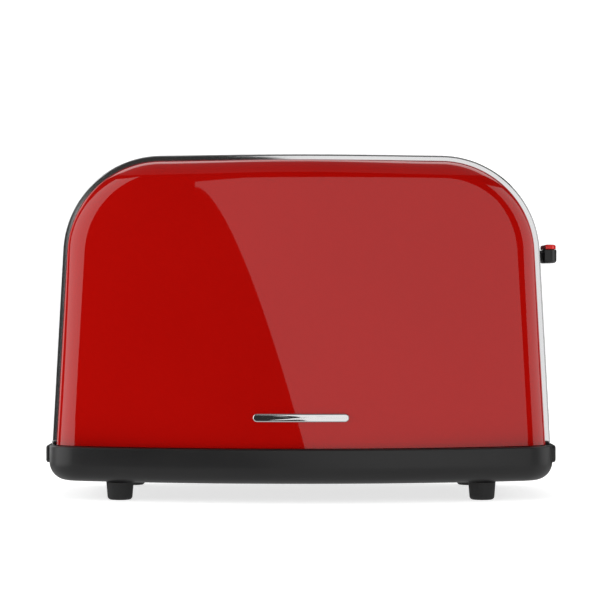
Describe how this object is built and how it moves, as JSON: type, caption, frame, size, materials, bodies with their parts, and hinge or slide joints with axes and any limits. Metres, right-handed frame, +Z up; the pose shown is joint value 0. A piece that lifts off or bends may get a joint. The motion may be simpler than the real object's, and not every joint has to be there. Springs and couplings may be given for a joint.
{
  "type": "pop-up toaster",
  "caption": "Two-slot pop-up toaster with bowed painted side panels, a steel band over the top and ends, a black base, an end lever and a slide-out crumb tray.",
  "frame": {"origin": "on the table, under the centre of the toaster's outline", "axes": "+X along the length towards the lever end, -Y out of the front panel, +Z up"},
  "size_m": [0.2718, 0.165, 0.1793],
  "materials": {
    "steel": "polished stainless sheet",
    "red_paint": "high gloss",
    "chrome": "polished",
    "black_plastic": "satin, finely textured",
    "red_plastic": "gloss",
    "rubber": "matt",
    "zinc_steel": "bright zinc-plated",
    "mica": "layered mica sheet",
    "heat_wire": "oxidised resistance ribbon",
    "circuit_board": "solder-masked board",
    "copper": "enamelled winding wire"
  },
  "bodies": {
    "housing": {"steel_band": "steel", "front_panel": "red_paint", "rear_panel": "red_paint", "front_badge": "chrome", "base_tub": "black_plastic", "cord_inlet": "rubber", "foot_front_left": "rubber", "foot_front_right": "rubber", "foot_rear_left": "rubber", "foot_rear_right": "rubber", "base_screw_1": "zinc_steel", "base_screw_2": "zinc_steel", "base_screw_3": "zinc_steel", "base_screw_4": "zinc_steel", "chassis_plate": "zinc_steel", "end_plate_left": "zinc_steel", "end_plate_right": "zinc_steel", "heat_shield_front": "zinc_steel", "heat_shield_rear": "zinc_steel", "heater_card_front": "mica", "heater_card_middle": "mica", "heater_card_rear": "mica", "heater_ribbon_front": "heat_wire", "heater_ribbon_middle_front": "heat_wire", "heater_ribbon_middle_rear": "heat_wire", "heater_ribbon_rear": "heat_wire", "guide_rod": "zinc_steel", "rod_bracket": "zinc_steel", "carriage_spring": "zinc_steel", "latch_magnet": "copper", "power_switch": "black_plastic", "control_board": "circuit_board", "control_panel": "black_plastic", "browning_potentiometer": "black_plastic"},
    "carriage": {"carriage": "zinc_steel", "bread_lifter_front": "zinc_steel", "bread_lifter_rear": "zinc_steel", "armature_plate": "zinc_steel", "lever_handle": "black_plastic", "lever_cap": "red_plastic"},
    "guide_front_outer": {"bread_guide_front_outer": "zinc_steel"},
    "guide_front_inner": {"bread_guide_front_inner": "zinc_steel"},
    "guide_rear_outer": {"bread_guide_rear_outer": "zinc_steel"},
    "guide_rear_inner": {"bread_guide_rear_inner": "zinc_steel"},
    "tray": {"crumb_tray": "zinc_steel", "crumb_tray_handle": "black_plastic"},
    "knob": {"browning_knob": "black_plastic"},
    "cancel_button": {"cancel_button": "black_plastic"},
    "reheat_button": {"reheat_button": "black_plastic"},
    "defrost_button": {"defrost_button": "black_plastic"}
  },
  "joints": [
    {"name": "lever_slide", "type": "slide", "parent": "housing", "child": "carriage", "axis": [0, 0, -1], "range_m": [0, 0.056], "stiffness_N_per_m": 90, "springref_m": -0.06, "deforming": ["carriage_spring"]},
    {"name": "guide_front_outer_close", "type": "slide", "parent": "housing", "child": "guide_front_outer", "axis": [0, 1, 0], "range_m": [0, 0.007]},
    {"name": "guide_front_inner_close", "type": "slide", "parent": "housing", "child": "guide_front_inner", "axis": [0, -1, 0], "range_m": [0, 0.007]},
    {"name": "guide_rear_outer_close", "type": "slide", "parent": "housing", "child": "guide_rear_outer", "axis": [0, -1, 0], "range_m": [0, 0.007]},
    {"name": "guide_rear_inner_close", "type": "slide", "parent": "housing", "child": "guide_rear_inner", "axis": [0, 1, 0], "range_m": [0, 0.007]},
    {"name": "crumb_tray_slide", "type": "slide", "parent": "housing", "child": "tray", "axis": [-1, 0, 0], "range_m": [0, 0.2]},
    {"name": "browning_turn", "type": "hinge", "parent": "housing", "child": "knob", "pos_m": [0.12807, 0, 0.04955], "axis": [0.9985, 0, 0.0551], "range_deg": [-135, 135]},
    {"name": "cancel_press", "type": "slide", "parent": "housing", "child": "cancel_button", "axis": [-0.9985, 0, -0.0551], "range_m": [0, 0.0015], "stiffness_N_per_m": 600, "springref_m": -0.0015},
    {"name": "reheat_press", "type": "slide", "parent": "housing", "child": "reheat_button", "axis": [-0.9985, 0, -0.0551], "range_m": [0, 0.0015], "stiffness_N_per_m": 600, "springref_m": -0.0015},
    {"name": "defrost_press", "type": "slide", "parent": "housing", "child": "defrost_button", "axis": [-0.9985, 0, -0.0551], "range_m": [0, 0.0015], "stiffness_N_per_m": 600, "springref_m": -0.0015}
  ],
  "couplings": [
    {"joint": "guide_front_outer_close", "follows": "lever_slide", "ratio": 0.12},
    {"joint": "guide_front_inner_close", "follows": "lever_slide", "ratio": 0.12},
    {"joint": "guide_rear_outer_close", "follows": "lever_slide", "ratio": 0.12},
    {"joint": "guide_rear_inner_close", "follows": "lever_slide", "ratio": 0.12}
  ]
}
